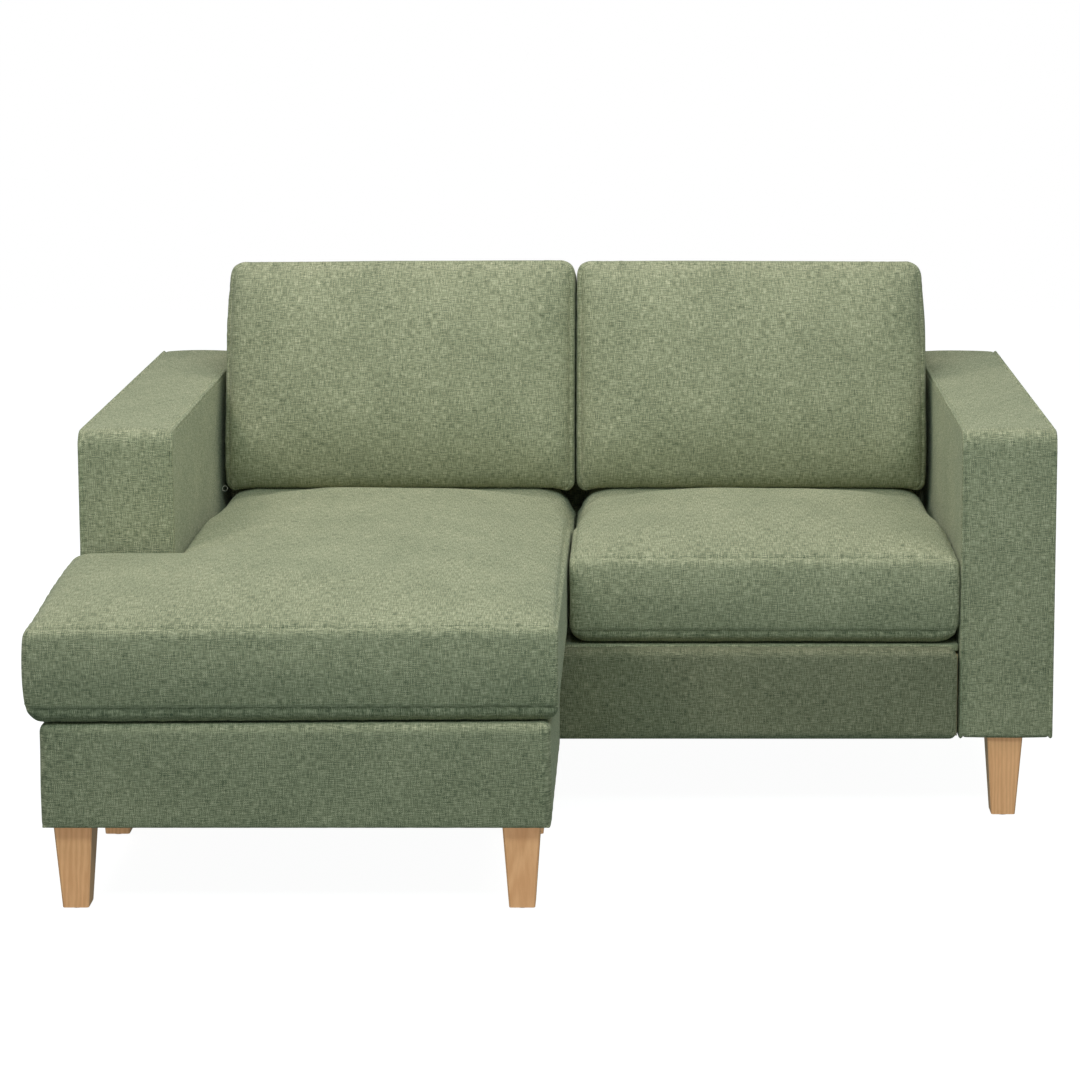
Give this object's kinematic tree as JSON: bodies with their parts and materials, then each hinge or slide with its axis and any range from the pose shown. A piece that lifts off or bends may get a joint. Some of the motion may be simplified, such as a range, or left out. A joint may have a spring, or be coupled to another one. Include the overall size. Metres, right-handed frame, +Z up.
{
  "type": "sofa with wooden legs",
  "caption": "Chaise sofa: box arms, loose back cushions, a seat cushion and an L-shaped chaise cushion over a free-standing ottoman, on tapered wooden legs.",
  "frame": {"origin": "on the floor, at the middle of the whole object's box", "axes": "+Z up; -Y is the front, where the sitter's legs hang; +X to the right of someone facing the sofa's front"},
  "size_m": [1.66, 1.38, 0.897],
  "materials": {
    "cover_fabric": "matte",
    "foam": "matte",
    "hardboard": "matte",
    "beech": "satin",
    "frame_timber": "matte",
    "glide_plastic": "matte",
    "zinc_steel": "satin",
    "spring_steel": "satin",
    "black_cloth": "matte",
    "webbing": "matte",
    "zip_metal": "polished",
    "zip_tape": "matte"
  },
  "bodies": {
    "sofa": {"arm_cover_left": "cover_fabric", "arm_cover_right": "cover_fabric", "arm_frame_left": "frame_timber", "arm_frame_right": "frame_timber", "arm_padding_left": "foam", "arm_padding_right": "foam", "arm_panels_left": "hardboard", "arm_panels_right": "hardboard", "back_cover": "cover_fabric", "back_padding": "foam", "back_panel": "hardboard", "back_rails": "frame_timber", "back_uprights": "frame_timber", "back_webbing": "webbing", "deck_cover": "cover_fabric", "deck_padding": "foam", "dust_cloth": "black_cloth", "frame_bolts": "zinc_steel", "seat_front_cover": "cover_fabric", "seat_front_padding": "foam", "seat_front_rail": "frame_timber", "seat_rear_rail": "frame_timber", "seat_side_rails": "frame_timber", "seat_springs": "spring_steel", "sofa_leg_bolts": "zinc_steel", "sofa_leg_front_left": "beech", "sofa_leg_front_right": "beech", "sofa_leg_glides": "glide_plastic", "sofa_leg_rear_left": "beech", "sofa_leg_rear_right": "beech", "spring_clips": "spring_steel"},
    "ottoman": {"ottoman_corner_blocks": "frame_timber", "ottoman_cover": "cover_fabric", "ottoman_dust_cloth": "black_cloth", "ottoman_end_rails": "frame_timber", "ottoman_leg_bolts": "zinc_steel", "ottoman_leg_front_left": "beech", "ottoman_leg_front_right": "beech", "ottoman_leg_glides": "glide_plastic", "ottoman_leg_rear_left": "beech", "ottoman_leg_rear_right": "beech", "ottoman_long_rails": "frame_timber", "ottoman_padding": "foam", "ottoman_webbing": "webbing"},
    "chaise_cushion": {"chaise_cushion_cover": "cover_fabric", "chaise_cushion_core": "foam", "chaise_zip_tape": "zip_tape"},
    "seat_cushion": {"seat_cushion_cover": "cover_fabric", "seat_cushion_core": "foam", "seat_zip_tape": "zip_tape"},
    "back_cushion_left": {"back_cushion_left_cover": "cover_fabric", "back_cushion_left_core": "foam", "back_zip_left_tape": "zip_tape"},
    "back_cushion_right": {"back_cushion_right_cover": "cover_fabric", "back_cushion_right_core": "foam", "back_zip_right_tape": "zip_tape"},
    "chaise_slider": {"chaise_zip_slider": "zip_metal"},
    "seat_slider": {"seat_zip_slider": "zip_metal"},
    "back_slider_left": {"back_zip_left_slider": "zip_metal"},
    "back_slider_right": {"back_zip_right_slider": "zip_metal"}
  },
  "joints": [
    {"name": "ottoman_pull", "type": "slide", "parent": "sofa", "child": "ottoman", "axis": [0, -1, 0], "range_m": [0, 0.6]},
    {"name": "chaise_cushion_pull", "type": "slide", "parent": "sofa", "child": "chaise_cushion", "axis": [0, -1, 0], "range_m": [0, 0.3]},
    {"name": "seat_cushion_pull", "type": "slide", "parent": "sofa", "child": "seat_cushion", "axis": [0, -1, 0], "range_m": [0, 0.32]},
    {"name": "back_cushion_left_lift", "type": "slide", "parent": "sofa", "child": "back_cushion_left", "axis": [0, 0, 1], "range_m": [0, 0.5]},
    {"name": "back_cushion_right_lift", "type": "slide", "parent": "sofa", "child": "back_cushion_right", "axis": [0, 0, 1], "range_m": [0, 0.5]},
    {"name": "chaise_zip", "type": "slide", "parent": "chaise_cushion", "child": "chaise_slider", "axis": [1, 0, 0], "range_m": [0, 0.508]},
    {"name": "seat_zip", "type": "slide", "parent": "seat_cushion", "child": "seat_slider", "axis": [1, 0, 0], "range_m": [0, 0.508]},
    {"name": "back_zip_left", "type": "slide", "parent": "back_cushion_left", "child": "back_slider_left", "axis": [0, 0.2251, 0.9743], "range_m": [0, 0.295]},
    {"name": "back_zip_right", "type": "slide", "parent": "back_cushion_right", "child": "back_slider_right", "axis": [0, 0.2251, 0.9743], "range_m": [0, 0.295]}
  ]
}
